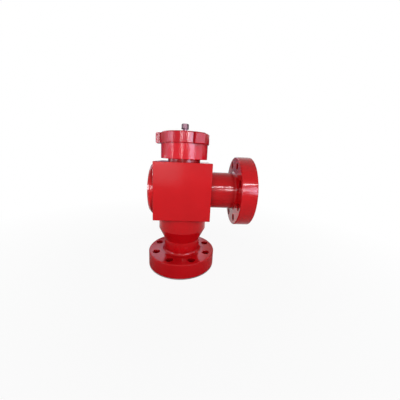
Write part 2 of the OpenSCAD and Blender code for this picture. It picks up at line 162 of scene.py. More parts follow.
class Graph:
    """The node tree of one material, or of the world."""

    def __init__(self, tree: bpy.types.NodeTree) -> None:
        """Empties the tree."""
        self.tree = tree
        tree.nodes.clear()

    def node(
        self, kind: str, settings: dict[str, Any], inputs: dict[Any, Any]
    ) -> bpy.types.Node:
        """Adds a node.

        Args:
            kind: Blender's name for the node type.
            settings: the node's own properties, set before its sockets.
            inputs: a number, colour, socket or Value for each input that isn't left as it is.

        Returns:
            The node.
        """
        made = self.tree.nodes.new(kind)
        for name, setting in settings.items():
            setattr(made, name, setting)
        for name, given in inputs.items():
            if isinstance(given, Value):
                given = given.socket
            if isinstance(given, bpy.types.NodeSocket):
                self.tree.links.new(given, made.inputs[name])
            else:
                made.inputs[name].default_value = given
        return made

    def value(
        self, kind: str, output: Any, settings: dict[str, Any], inputs: dict[Any, Any]
    ) -> Value:
        """Adds a node and gives one of its outputs."""
        return Value(self, self.node(kind, settings, inputs).outputs[output])

    def place(self) -> Value:
        """The point on the piece, in metres in the part's own frame."""
        return self.value("ShaderNodeTexCoord", "Object", {}, {})

    def axes(self, point: Value) -> tuple[Value, Value, Value]:
        """The three coordinates of a point."""
        made = self.node("ShaderNodeSeparateXYZ", {}, {0: point})
        return tuple(Value(self, output) for output in made.outputs)

    def joined(self, x: Value | float, y: Value | float, z: Value | float) -> Value:
        """A point from three coordinates."""
        return self.value("ShaderNodeCombineXYZ", 0, {}, {0: x, 1: y, 2: z})

    def stretched(self, point: Value, by: Point) -> Value:
        """A point with its coordinates multiplied."""
        settings = {"operation": "MULTIPLY"}
        return self.value("ShaderNodeVectorMath", 0, settings, {0: point, 1: by})

    def grain(self, point: Value, noise: Noise) -> Value:
        """A noise from 0 to 1.

        Args:
            point: where it is read.
            noise: its pattern.

        Returns:
            The noise at that point.
        """
        inputs = {"Scale": noise.cells, "Detail": noise.layers, "Roughness": noise.grit}
        return self.value("ShaderNodeTexNoise", 0, {}, {"Vector": point, **inputs})

    def blend(self, share: Value, first: Any, second: Any) -> Value:
        """A colour between two colours, by a share from 0 to 1."""
        inputs = {MIX_SHARE: share, MIX_FIRST: opaque(first), MIX_SECOND: opaque(second)}
        return self.value("ShaderNodeMix", MIX_RESULT, {"data_type": "RGBA"}, inputs)

    def toned(self, colour: Any, by: Value) -> Value:
        """A colour made lighter or darker.

        Args:
            colour: the colour, or a Value of one.
            by: the factor.

        Returns:
            The new colour.
        """
        settings = {"data_type": "RGBA", "blend_type": "MULTIPLY"}
        grey = self.joined(by, by, by)
        inputs = {MIX_SHARE: 1.0, MIX_FIRST: opaque(colour), MIX_SECOND: grey}
        return self.value("ShaderNodeMix", MIX_RESULT, settings, inputs)

    def bump(self, height: Value, depth: float, normal: Value | None = None) -> Value:
        """A normal bent by a height.

        Args:
            height: the height, from 0 to 1.
            depth: what a height of 1 stands for, in metres.
            normal: the normal that is bent, if it isn't the surface's own.

        Returns:
            The bent normal.
        """
        inputs = {"Height": height, "Distance": depth, "Strength": 1.0}
        if normal is not None:
            inputs["Normal"] = normal
        return self.value("ShaderNodeBump", 0, {}, inputs)

    def shelter(self, reach: float) -> Value:
        """1 in the open, and less in holes, in corners and under lips, within a reach in metres."""
        settings = {"samples": EDGE_SAMPLES, "only_local": True}
        return self.value("ShaderNodeAmbientOcclusion", "AO", settings, {"Distance": reach})

    def eased(self, radius: float) -> Value:
        """A normal that rounds the piece's sharp edges."""
        return self.value("ShaderNodeBevel", 0, {"samples": EDGE_SAMPLES}, {"Radius": radius})


def opaque(colour: Any) -> Any:
    """A colour with full opacity, or the Value that was given."""
    return colour if isinstance(colour, Value) else (*colour, 1.0)


def new_material(name: str) -> tuple[bpy.types.Material, Graph]:
    """A new material that is built from nodes.

    Args:
        name: the material's name.

    Returns:
        The material, and its empty graph.
    """
    material = bpy.data.materials.new(name)
    material.use_nodes = True
    return material, Graph(material.node_tree)


def new_mesh(name: str, points: Sequence[Point], faces: Sequence[Face]) -> bpy.types.Mesh:
    """A new mesh.

    Args:
        name: the mesh's name.
        points: its points, in metres.
        faces: its faces, each as the numbers of its points.

    Returns:
        The mesh.
    """
    mesh = bpy.data.meshes.new(name)
    mesh.from_pydata(list(points), [], list(faces))
    return mesh


def new_object(name: str, data: bpy.types.ID) -> bpy.types.Object:
    """A new object, linked to the scene.

    Args:
        name: the object's name.
        data: its mesh, lamp or camera.

    Returns:
        The object.
    """
    made = bpy.data.objects.new(name, data)
    bpy.context.scene.collection.objects.link(made)
    return made


# Finishes


@dataclass(frozen=True)
class Finish:
    """What every finish has: a name, and one principled surface."""

    name: str

    def make(self) -> bpy.types.Material:
        """Builds the finish's nodes.

        Returns:
            The material.
        """
        material, graph = new_material(self.name)
        surface = graph.node("ShaderNodeBsdfPrincipled", {}, self.sockets(graph))
        graph.node("ShaderNodeOutputMaterial", {}, {"Surface": surface.outputs[0]})
        return material

    def sockets(self, graph: Graph) -> dict[str, Any]:
        """What goes into the principled surface.

        Args:
            graph: the material's graph.

        Returns:
            A number, colour or Value by the name of its input.
        """
        raise NotImplementedError


class Lay(Enum):
    """Which way the tool ran over a machined piece."""

    TURNED = "turned"
    FACED = "faced"
    DRAWN = "drawn"


@dataclass(frozen=True)
class Metal(Finish):
    """Bare metal with fine tool marks, a film of oil or handling, and painted shade in its corners.
    """

    tint: Colour = (0.55, 0.55, 0.56)
    rough: float = 0.3
    lay: Lay = Lay.TURNED
    marks: float = 1400.0
    mark_depth: float = 0.00001
    mark_grit: float = 0.6
    mark_stain: float = 0.35
    mark_rough: float = 0.05
    wander: float = 0.15
    drawn_out: float = 0.05
    stain: float = 0.16
    film: Noise = Noise(70.0, layers=4.0, grit=0.6)
    film_rough: float = 0.12
    # How much painted shade darkens holes, corners and spots under lips, and how far the darkening
    # reaches.
    painted_shade: float = 0.45
    painted_shade_reach: float = 0.008

    def tool_marks(self, graph: Graph) -> Value:
        """Lines that go round the axis, along it, or round a faced end.

        Args:
            graph: the material's graph.

        Returns:
            The lines' height, from 0 to 1.
        """
        point = graph.place()
        x, y, z = graph.axes(point)
        if self.lay is Lay.DRAWN:
            drawn = graph.stretched(point, (1.0, 1.0, self.drawn_out))
            return graph.grain(drawn, Noise(self.marks))
        radius = (x * x + y * y) ** 0.5
        across, along = (z, radius) if self.lay is Lay.TURNED else (radius, z)
        lines = graph.joined(across, along * self.wander, 0.0)
        return graph.grain(lines, Noise(self.marks, grit=self.mark_grit))

    def sockets(self, graph: Graph) -> dict[str, Any]:
        """Tool marks in the normal, and stains in colour and roughness.

        Args:
            graph: the material's graph.

        Returns:
            A number, colour or Value by the name of its input.
        """
        lines = self.tool_marks(graph)
        film = graph.grain(graph.place(), self.film)
        shade = 1 - self.stain * film + self.stain * self.mark_stain * lines
        # Painted shade: the steel's colour is darkened in holes, corners and under lips, where
        # shade falls.
        shade = shade * (1 - self.painted_shade * (1 - graph.shelter(self.painted_shade_reach)))
        rough = self.rough + self.film_rough * film + self.mark_rough * lines
        return {
            "Base Color": graph.toned(self.tint, shade),
            "Metallic": 1.0,
            "Roughness": rough - self.film_rough / 2,
            "Normal": graph.bump(lines, self.mark_depth),
        }


@dataclass(frozen=True)
class Soft(Finish):
    """Rubber, plastic or gasket sheet."""

    tint: Colour = (0.03, 0.03, 0.03)
    other: Colour = (0.05, 0.05, 0.05)
    rough: float = 0.7
    cells: float = 1500.0
    pit_depth: float = 0.00004
    layers: float = 3.0
    grit: float = 0.65
    patches: Noise = Noise(90.0, layers=3.0)
    patch_share: float = 0.4
    rough_swing: float = 0.16

    def sockets(self, graph: Graph) -> dict[str, Any]:
        """A fine grain in colour and normal.

        Args:
            graph: the material's graph.

        Returns:
            A number, colour or Value by the name of its input.
        """
        fine = graph.grain(graph.place(), Noise(self.cells, self.layers, self.grit))
        patches = graph.grain(graph.place(), self.patches)
        share = (1 - self.patch_share) * fine + self.patch_share * patches
        return {
            "Base Color": graph.blend(share, self.tint, self.other),
            "Roughness": self.rough + self.rough_swing * fine - self.rough_swing / 2,
            "Normal": graph.bump(fine, self.pit_depth),
        }


@dataclass(frozen=True)
class Enamel(Finish):
    """Glossy red enamel over steel, with orange peel, soft lumps, dust, and painted shade in its
    corners.

    Each kind of it says where the piece seals or screws, and so is left bare.
    """

    red: Colour = (0.60, 0.004, 0.008)
    deep_red: Colour = (0.53, 0.003, 0.006)
    patches: Noise = Noise(9.0)
    patch_level: float = 0.5
    patch_soft: float = 0.5
    patch_rough: float = 0.04
    lumps: Noise = Noise(130.0, layers=1.0)
    lump_depth: float = 0.00012
    lump_stretch: float = 0.35
    streaks: Noise = Noise(210.0, grit=0.6)
    streak_depth: float = 0.0
    streak_stretch: float = 0.22
    peel: Noise = Noise(420.0, layers=1.0)
    peel_depth: float = 0.000008
    dust: Colour = (0.42, 0.05, 0.05)
    specks: Noise = Noise(900.0)
    speck_level: float = 0.79
    speck_soft: float = 0.05
    speck_share: float = 0.25
    # How much painted shade darkens holes, seams and spots under lips, and how far the darkening
    # reaches.
    painted_shade: float = 0.8
    painted_shade_reach: float = 0.028
    gloss_rough: float = 0.12
    specular: float = 0.17
    edge_radius: float = 0.0014
    steel: Colour = (0.31, 0.305, 0.31)
    steel_rough: float = 0.36
    lathe: Noise = Noise(1300.0, grit=0.6)
    lathe_base: float = 0.82
    lathe_share: float = 0.22
    wander: Noise = Noise(260.0)
    wander_width: float = 0.0012
    step: float = 0.0006

    def raggedness(self, graph: Graph, point: Value) -> Value:
        """How far the paint's edge wanders to either side, in metres."""
        return self.wander_width * graph.grain(point, self.wander) - self.wander_width / 2

    def bare(self, graph: Graph, point: Value) -> Value:
        """Where the steel is bare.

        Args:
            graph: the material's graph.
            point: the point on the piece.

        Returns:
            1 where the steel is bare and 0 under the paint.
        """
        raise NotImplementedError

    def coat(self, graph: Graph, paint: Value, z: Value) -> Value:
        """The paint's colour at a height, where a piece's coat differs over its height."""
        return paint

    def metal(self, graph: Graph, steel: Value, z: Value) -> Value:
        """The bare steel's colour at a height, where a piece's steel differs over its height."""
        return steel

    def skin(self, graph: Graph, point: Value) -> Value:
        """The normal, with eased edges, lumps, streaks and orange peel.

        Args:
            graph: the material's graph.
            point: the point on the piece.

        Returns:
            The normal.
        """
        lumps = graph.grain(graph.stretched(point, (1.0, 1.0, self.lump_stretch)), self.lumps)
        normal = graph.bump(lumps, self.lump_depth, graph.eased(self.edge_radius))
        if self.streak_depth:
            drawn = graph.stretched(point, (1.0, 1.0, self.streak_stretch))
            normal = graph.bump(graph.grain(drawn, self.streaks), self.streak_depth, normal)
        return graph.bump(graph.grain(point, self.peel), self.peel_depth, normal)

    def sockets(self, graph: Graph) -> dict[str, Any]:
        """Paint and bare steel, mixed by the mask.

        Args:
            graph: the material's graph.

        Returns:
            A number, colour or Value by the name of its input.
        """
        point = graph.place()
        bare = self.bare(graph, point)
        x, y, z = graph.axes(point)
        radius = (x * x + y * y) ** 0.5
        patches = graph.grain(point, self.patches)
        faded = patches.above(self.patch_level, self.patch_soft)
        specks = graph.grain(point, self.specks).above(self.speck_level, self.speck_soft)
        paint = graph.blend(faded, self.deep_red, self.red)
        paint = graph.blend(self.speck_share * specks, paint, self.dust)
        # Painted shade: the paint is darkened in holes, corners, seams and under lips, where shade
        # falls.
        paint = graph.toned(paint, 1 - self.painted_shade * (1 - graph.shelter(self.painted_shade_reach)))
        paint = self.coat(graph, paint, z)
        lathe = graph.grain(graph.joined(radius, z, 0.0), self.lathe)
        steel = graph.toned(self.steel, self.lathe_base + self.lathe_share * lathe)
        steel = self.metal(graph, steel, z)
        gloss = self.gloss_rough + self.patch_rough * patches
        return {
            "Base Color": graph.blend(bare, paint, steel),
            "Metallic": bare,
            "Roughness": gloss + (self.steel_rough - self.gloss_rough) * bare,
            "Specular IOR Level": self.specular,
            "Normal": self.skin(graph, point),
        }


@dataclass(frozen=True)
class BodyEnamel(Enamel):
    """The forging's enamel, left off its bores, its sealing faces and its greased neck thread."""

    bore_r: float = 0.0424
    face_r: float = 0.0764
    face_deep: float = 0.0102
    neck_r: float = 0.0628
    thread_foot: float = 0.4312
    grease: float = 0.74
    inlet_height: float = 0.3115
    inlet_reach: float = 0.2591
    inlet_bore_r: float = 0.0394
    inlet_start: float = 0.02

    def bare(self, graph: Graph, point: Value) -> Value:
        """Where the steel is bare.

        Args:
            graph: the material's graph.
            point: the point on the piece.

        Returns:
            1 where the steel is bare and 0 under the paint.
        """
        x, y, z = graph.axes(point)
        ragged = self.raggedness(graph, point)
        radius = (x * x + y * y) ** 0.5 + ragged
        up = z - self.inlet_height
        inlet_radius = (y * y + up * up) ** 0.5 + ragged
        face_start = self.inlet_reach - self.face_deep
        zones = (
            radius.below(self.face_r, self.step) * z.below(self.face_deep, self.step),
            radius.below(self.neck_r, self.step) * z.above(self.thread_foot, self.step),
            inlet_radius.below(self.inlet_bore_r, self.step) * x.above(self.inlet_start, self.step),
            inlet_radius.below(self.face_r, self.step) * x.above(face_start, self.step),
        )
        bare = radius.below(self.bore_r, self.step)
        for zone in zones:
            bare = bare.larger(zone)
        return bare

    def metal(self, graph: Graph, steel: Value, z: Value) -> Value:
        """The bare steel's colour, darker where the neck's thread is greased."""
        return graph.toned(steel, 1 - self.grease * z.above(self.thread_foot, self.step))


@dataclass(frozen=True)
class NutEnamel(Enamel):
    """The nut's enamel: lumpy and streaked, with the skirt painted lighter than the band as painted
    light, and left off the hollow.
    """

    red: Colour = (0.55, 0.006, 0.016)
    deep_red: Colour = (0.49, 0.005, 0.012)
    lumps: Noise = Noise(210.0, layers=1.0)
    lump_depth: float = 0.0004
    streak_depth: float = 0.00022
    # Painted light: how much lighter the skirt is painted than the band and the lugs.
    painted_skirt_light: float = 0.27
    skirt_top: float = 0.4844
    hollow_r: float = 0.0634
    hollow_top: float = 0.4886
    hub_hole_r: float = 0.0385

    def bare(self, graph: Graph, point: Value) -> Value:
        """Where the steel is bare.

        Args:
            graph: the material's graph.
            point: the point on the piece.

        Returns:
            1 where the steel is bare and 0 under the paint.
        """
        x, y, z = graph.axes(point)
        radius = (x * x + y * y) ** 0.5 + self.raggedness(graph, point)
        hollow = radius.below(self.hollow_r, self.step) * z.below(self.hollow_top, self.step)
        return hollow.larger(radius.below(self.hub_hole_r, self.step))

    def coat(self, graph: Graph, paint: Value, z: Value) -> Value:
        """The paint's colour, painted lighter on the skirt than on the band and the lugs, as
        painted light.
        """
        return graph.toned(paint, 1 + self.painted_skirt_light * z.below(self.skirt_top, self.step))


@dataclass(frozen=True)
class PlugEnamel(Enamel):
    """The plug's enamel, which covers only the top of its hub."""

    paint_foot: float = 0.5142

    def bare(self, graph: Graph, point: Value) -> Value:
        """1 where the steel is bare and 0 under the paint."""
        height = graph.axes(point)[2] + self.raggedness(graph, point)
        return height.below(self.paint_foot, self.step)


RUBBER = Soft("seal rubber")
BACKUP = Soft(
    "backup plastic", tint=(0.80, 0.77, 0.70), other=(0.70, 0.67, 0.60), rough=0.45, cells=500.0,
    pit_depth=0.00002,
)
FIBRE = Soft(
    "gasket fibre", tint=(0.27, 0.31, 0.25), other=(0.40, 0.42, 0.34), rough=0.85, cells=1100.0,
    pit_depth=0.00008,
)


# Pieces that the solids leave to the scene


class Side(Enum):
    """Which way a thread's ridge stands off its wall."""

    OUT = 1
    IN = -1


@dataclass
class ThreadRidge:
    """The helical ridge of a right-hand trapezoidal thread, added to a smooth wall."""

    name: str
    body: str
    slot: str
    side: Side
    wall_r: float
    height: float
    pitch: float
    low: float
    high: float
    phase: float = 0.0
    per_turn: int = 64
    sunk: float = 0.00025
    slack: float = 0.94
    flank_angle: float = 14.5
    crest_share: float = 0.185
    chamfer_share: float = 0.06
    run_out_turns: float = 0.6
    least_lift: float = 0.05
    least_rise: float = 0.25

    def section(self, lift: float) -> list[tuple[float, float]]:
        """The ridge's section as (distance from the axis, height along it).

        Args:
            lift: share of the full ridge height, which runs out at both ends.

        Returns:
            Six corners, the crest's two broken by a small chamfer.
        """
        slope = math.tan(math.radians(self.flank_angle))
        crest_half = self.crest_share * self.pitch * self.slack
        root_half = crest_half + slope * self.height
        away = self.side.value
        top = self.wall_r + away * max(self.height * lift, self.sunk * self.least_rise)
        chamfer = self.chamfer_share * self.pitch * max(lift, self.least_lift)
        foot = self.wall_r - away * self.sunk
        shoulder = top - away * chamfer
        return [
            (foot, -root_half),
            (shoulder, -crest_half - slope * chamfer),
            (top, chamfer - crest_half),
            (top, crest_half - chamfer),
            (shoulder, crest_half + slope * chamfer),
            (foot, root_half),
        ]

    def build(self) -> bpy.types.Object:
        """The ridge as one closed mesh on its body.

        Returns:
            The ridge, which isn't dressed yet.
        """
        turns = (self.high - self.low) / self.pitch
        count = round(turns * self.per_turn)
        fade = self.per_turn * self.run_out_turns
        points: list[Point] = []
        for i in range(count + 1):
            lift = min(1.0, i / fade, (count - i) / fade)
            z = self.low + (self.high - self.low) * i / count
            angle = 2 * math.pi * (z / self.pitch) + self.phase
            for r, dz in self.section(lift):
                points.append((r * math.cos(angle), r * math.sin(angle), z + dz))
        corners = len(points) // (count + 1)
        faces = tube_faces(count, corners)
        if self.side is Side.IN:
            faces = [tuple(reversed(face)) for face in faces]
        return make_piece(self.name, self.body, points, faces)


@dataclass
class CoilSpring:
    """A compression spring of round wire, with a closed turn at each end."""

    wire_r: float = 0.0006
    coil_r: float = 0.0041
    seat: float = 0.4999
    low: float = 0.50055
    high: float = 0.525354
    turns: float = 7.0
    closed_turns: float = 1.0
    closed_pitch: float = 1.02
    per_turn: int = 40
    around: int = 10
    joint: str = "ball_drop"
    keep: float = 0.882

    def height(self, turn: float) -> float:
        """The wire's height: nearly flat on both closed turns, and rising between them.

        Args:
            turn: how many turns up the wire is.

        Returns:
            The height of the wire's middle, in metres.
        """
        open_turns = self.turns - 2 * self.closed_turns
        closed_rise = 2 * self.wire_r * self.closed_turns * self.closed_pitch
        rise = self.high - self.low - 2 * closed_rise
        if turn < self.closed_turns:
            return self.low + closed_rise * turn / self.closed_turns
        if turn > self.turns - self.closed_turns:
            return self.high - closed_rise * (self.turns - turn) / self.closed_turns
        share = (turn - self.closed_turns) / open_turns
        return self.low + closed_rise + rise * share

    def build(self) -> bpy.types.Object:
        """The wire as one closed tube, which stands for the CAD spring.

        Returns:
            The wire, which isn't dressed yet.
        """
        count = round(self.turns * self.per_turn)
        points: list[Point] = []
        for i in range(count + 1):
            turn = i / self.per_turn
            angle = 2 * math.pi * turn
            z = self.height(turn)
            for j in range(self.around):
                tilt = 2 * math.pi * j / self.around
                r = self.coil_r + self.wire_r * math.cos(tilt)
                rise = self.wire_r * math.sin(tilt)
                points.append((r * math.cos(angle), r * math.sin(angle), z + rise))
        faces = tube_faces(count, self.around)
        spring = make_piece("vent_spring_wire", "plug", points, faces)
        for face in spring.data.polygons:
            face.use_smooth = True
        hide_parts("vent_spring")
        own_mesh(spring)
        return spring


def tube_faces(count: int, corners: int) -> list[Face]:
    """The faces of a closed tube whose sections follow each other in the list of points.

    Args:
        count: how many steps the tube has from its first section to its last.
        corners: how many points a section has.

    Returns:
        The sides, then both ends.
    """
    faces: list[Face] = []
    for i in range(count):
        for j in range(corners):
            a, b = i * corners + j, i * corners + (j + 1) % corners
            faces.append((a, a + corners, b + corners, b))
    faces.append(tuple(range(corners)))
    faces.append(tuple(count * corners + j for j in reversed(range(corners))))
    return faces


def make_piece(
    name: str, body: str, points: Sequence[Point], faces: Sequence[Face]
) -> bpy.types.Object:
    """A new piece of the valve, from its mesh.

    Args:
        name: the piece's name.
        body: the CAD body that it rides on.
        points: the mesh's points, in metres.
        faces: the mesh's faces.

    Returns:
        The piece.
    """
    mesh = new_mesh(name, points, faces)
    mesh.validate()
    mesh.update()
    piece = new_object(name, mesh)
    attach(piece, body)
    LOG.info("made %s with %d faces on %s", name, len(faces), body)
    return piece


def dress(piece: bpy.types.Object, finish: Finish) -> None:
    """Gives a piece one finish all over.

    Args:
        piece: the piece, or a CAD node's object.
        finish: its finish.
    """
    piece.data.materials.clear()
    piece.data.materials.append(finish.make())
    LOG.info("dressed %s in %s", piece.name, finish.name)


# Sub-assemblies


@dataclass
class Assembly:
    """A group of CAD nodes, each with its finish."""

    nodes: dict[str, bpy.types.Object]

    def finishes(self) -> dict[str, Finish]:
        """The finish of each node."""
        raise NotImplementedError

    def add_pieces(self) -> None:
        """Adds what the solids leave to the scene."""

    def build(self) -> None:
        """Dresses the nodes and adds the group's own pieces."""
        for name, finish in self.finishes().items():
            dress(self.nodes[name], finish)
        self.add_pieces()


@dataclass
class ForgedBody(Assembly):
    """The enamelled forging, with the thread on its bonnet neck."""

    neck_root_r: float = 0.0591
    thread_height: float = 0.0032
    pitch: float = 0.00635
    thread_low: float = 0.4335
    thread_high: float = 0.4692

    def finishes(self) -> dict[str, Finish]:
        """Red enamel with bare sealing faces, bores and thread."""
        return {"valve_body": BodyEnamel("body enamel")}

    def add_pieces(self) -> None:
        """The neck's thread."""
        ridge = ThreadRidge(
            "neck_thread", "valve", "red_paint", Side.OUT, self.neck_root_r, self.thread_height,
            self.pitch, self.thread_low, self.thread_high,
        )
        dress(ridge.build(), Metal("neck thread steel", (0.42, 0.41, 0.41), rough=0.34))


@dataclass
class HammerNut(Assembly):
    """The bonnet nut with the thread in its skirt."""

    bore_r: float = 0.0626
    thread_height: float = 0.0032
    pitch: float = 0.00635
    thread_low: float = 0.4352
    thread_high: float = 0.4690

    def finishes(self) -> dict[str, Finish]:
        """Red enamel outside, bare steel in the hollow."""
        return {"bonnet_nut": NutEnamel("nut enamel")}

    def add_pieces(self) -> None:
        """The thread in the skirt, half a pitch off the neck's."""
        ridge = ThreadRidge(
            "nut_thread", "bonnet_nut", "nut_paint", Side.IN, self.bore_r, self.thread_height,
            self.pitch, self.thread_low, self.thread_high, phase=math.pi,
        )
        dress(ridge.build(), Metal("nut thread steel", (0.40, 0.39, 0.39), rough=0.36))


@dataclass
class BlankingPlug(Assembly):
    """The plug with its seals and the snap ring that holds the nut."""

    def finishes(self) -> dict[str, Finish]:
        """Turned steel, enamelled only on top of its hub.

        Returns:
            The finish of each node, by its name.
        """
        return {
            "blanking_plug": PlugEnamel("plug steel and enamel"),
            "plug_seal": RUBBER,
            "lower_backup_ring": BACKUP,
            "upper_backup_ring": BACKUP,
            "plug_snap_ring": phosphated("phosphated ring"),
        }


@dataclass
class VentFitting(Assembly):
    """The vent fitting with its ball, spring, seat and cap."""

    neck_root_r: float = 0.008
    thread_height: float = 0.00095
    pitch: float = 0.0018
    thread_low: float = 0.5448
    thread_high: float = 0.5505

    def finishes(self) -> dict[str, Finish]:
        """Satin steel outside with a painted reflection of the red paint in its tint, chrome ball,
        brass seat.

        Returns:
            The finish of each node, by its name.
        """
        # Painted reflection: the vent's steel is tinted dark pink, standing in for the red paint
        # that it mirrors.
        satin_with_painted_red_cast = Metal("vent steel", (0.115, 0.063, 0.073), rough=0.42, marks=900.0)
        chrome = Metal(
            "ball chrome", (0.75, 0.75, 0.76), rough=0.12, lay=Lay.DRAWN, marks=300.0,
            mark_depth=0.000001, stain=0.05,
        )
        brass = Metal("seat brass", (0.70, 0.50, 0.20), rough=0.28, lay=Lay.FACED, marks=1600.0)
        return {
            "vent_body": satin_with_painted_red_cast,
            "vent_cap": satin_with_painted_red_cast,
            "vent_ball": chrome,
            "spring_seat": brass,
            "cap_gasket": FIBRE,
        }

    def add_pieces(self) -> None:
        """The thread on the neck's top, and the spring under the ball."""
        wire = Metal(
            "spring wire", (0.55, 0.55, 0.55), rough=0.25, lay=Lay.DRAWN, marks=900.0,
            mark_depth=0.000002,
        )
        dress(self.nodes["vent_spring"], wire)
        dress(CoilSpring().build(), wire)
        ridge = ThreadRidge(
            "vent_neck_thread", "plug", "vent_steel", Side.OUT, self.neck_root_r,
            self.thread_height, self.pitch, self.thread_low, self.thread_high, per_turn=48,
            sunk=0.0001, slack=0.9,
        )
        dress(ridge.build(), Metal("vent thread steel", (0.52, 0.46, 0.48), rough=0.32))


@dataclass
class BeanSeat(Assembly):
    """The screwed adapter and the bean with its carbide liner."""

    def finishes(self) -> dict[str, Finish]:
        """Machined steels, ground carbide and fibre gaskets.

        Returns:
            The finish of each node, by its name.
        """
        carbide = Metal(
            "ground carbide", (0.33, 0.33, 0.34), rough=0.2, marks=2500.0, mark_depth=0.000004,
            stain=0.08,
        )
        return {
            "adapter_gasket": FIBRE,
            "bean_adapter": Metal("adapter steel", (0.50, 0.50, 0.51), rough=0.32),
            "bean_gasket": FIBRE,
            "flow_bean": Metal("bean steel", (0.60, 0.60, 0.61), rough=0.27),
            "bean_liner": carbide,
        }


@dataclass
class OutletSleeve(Assembly):
    """The wear sleeve with its seal and snap ring."""

    def finishes(self) -> dict[str, Finish]:
        """Machined steel, rubber, phosphated ring.

        Returns:
            The finish of each node, by its name.
        """
        return {
            "outlet_sleeve": Metal("sleeve steel", (0.55, 0.56, 0.57), rough=0.3),
            "sleeve_seal": RUBBER,
            "sleeve_snap_ring": phosphated("phosphated sleeve ring"),
        }


def phosphated(name: str) -> Metal:
    """The dull dark finish of a snap ring."""
    return Metal(name, (0.16, 0.16, 0.17), rough=0.5, lay=Lay.DRAWN, marks=500.0)


# Studio


def outward(azimuth: float, elevation: float) -> Vector:
    """A direction away from the valve.

    Args:
        azimuth: degrees from the camera's side towards +X.
        elevation: degrees over the level.

    Returns:
        The direction, one metre long.
    """
    turn, rise = math.radians(azimuth), math.radians(elevation)
    level = math.cos(rise)
    return Vector((math.sin(turn) * level, -math.cos(turn) * level, math.sin(rise)))


class Use(Enum):
    """What a lamp does: it lights the object, or only shows in its gloss."""

    SHINE = "shine"
    FILL = "fill"


DAYLIGHT: Colour = (0.93, 0.96, 1.0)
SKYLIGHT: Colour = (0.68, 0.75, 1.0)


@dataclass
class Lamp:
    """An area lamp that looks at the valve.

    Its place is an azimuth and an elevation in degrees, and a distance. Its size is a width and
    a height. Its spread is in degrees, and its lift raises both the lamp and what it looks at.
    """

    name: str
    at: tuple[float, float, float]
    size: tuple[float, float]
    radiance: float
    use: Use = Use.SHINE
    tint: Colour = DAYLIGHT
    spread: float = 180.0
    lift: float = 0.0

    def build(self, aim: Vector) -> None:
        """The lamp, turned to its aim.

        Args:
            aim: the studio's aim, which the lamp looks at, or above it by its lift.
        """
        azimuth, elevation, distance = self.at
        width, height = self.size
        data = bpy.data.lights.new(self.name, "AREA")
        data.shape = "RECTANGLE"
        data.size, data.size_y = width, height
        data.energy = math.pi * width * height * self.radiance
        data.color = self.tint
        data.spread = math.radians(self.spread)
        lamp = new_object(self.name, data)
        out = outward(azimuth, elevation)
        lamp.location = aim + Vector((0.0, 0.0, self.lift)) + out * distance
        lamp.rotation_mode = "QUATERNION"
        lamp.rotation_quaternion = (-out).to_track_quat("-Z", "Y")
        lamp.visible_camera = False
        lamp.visible_glossy = self.use is Use.SHINE
        lamp.visible_diffuse = self.use is Use.FILL
        LOG.info("set lamp %s", self.name)


@dataclass
class Flag:
    """A dark upright card beside the valve, which only shows in its gloss, to draw its edges."""

    name: str
    azimuth: float
    width: float
    tone: Colour
    distance: float = 1.1
    height: float = 0.62

    def build(self) -> None:
        """The card, staged, dark, and seen by gloss alone."""
        out = outward(self.azimuth, 0.0)
        side = Vector((-out.y, out.x, 0.0)) * (self.width / 2)
        middle = out * self.distance
        corners = [middle - side, middle + side]
        points = [(c.x, c.y, z) for z in (0.0, self.height) for c in corners]
        mesh = new_mesh(self.name, points, [(0, 1, 3, 2)])
        card = new_object(self.name, mesh)
        for ray in ("camera", "diffuse", "transmission", "shadow"):
            setattr(card, f"visible_{ray}", False)
        material, graph = new_material(self.name)
        cloth = graph.node("ShaderNodeEmission", {}, {"Color": opaque(self.tone), "Strength": 1.0})
        graph.node("ShaderNodeOutputMaterial", {}, {"Surface": cloth.outputs[0]})
        mesh.materials.append(material)
        LOG.info("set card %s", self.name)


@dataclass
class Camera:
    """The camera at the photograph's place and angle, with its angles in radians."""

    at: Point = (0.02766, -0.71618, 0.43724)
    pitch: float = 0.1927
    roll: float = 0.0469
    yaw: float = -0.0541
    lens: float = 16.189
    sensor: float = 36.0
    shift: tuple[float, float] = (0.0007, -0.0178)
    clip: tuple[float, float] = (0.01, 100.0)

    def rotation(self) -> Matrix:
        """The way the camera looks: a level view along +Y, turned, tilted and leant.

        Returns:
            The rotation from the camera's own axes to the scene's.
        """
        cp, sp = math.cos(self.pitch), math.sin(self.pitch)
        cr, sr = math.cos(self.roll), math.sin(self.roll)
        cy, sy = math.cos(self.yaw), math.sin(self.yaw)
        level = Matrix(((1, 0, 0), (0, 0, -1), (0, 1, 0)))
        turn = Matrix(((cy, 0, sy), (0, 1, 0), (-sy, 0, cy)))
        tilt = Matrix(((1, 0, 0), (0, cp, -sp), (0, sp, cp)))
        lean = Matrix(((cr, -sr, 0), (sr, cr, 0), (0, 0, 1)))
        right, down, ahead = (lean @ tilt @ turn @ level)[:]
        return Matrix((right, -down, -ahead)).transposed()

    def build(self) -> None:
        """The camera, made the scene's own."""
        data = bpy.data.cameras.new("camera")
        data.sensor_width = self.sensor
        data.lens = self.lens
        data.shift_x, data.shift_y = self.shift
        data.clip_start, data.clip_end = self.clip
        camera = new_object("camera", data)
        camera.matrix_world = Matrix.Translation(self.at) @ self.rotation().to_4x4()
        bpy.context.scene.camera = camera


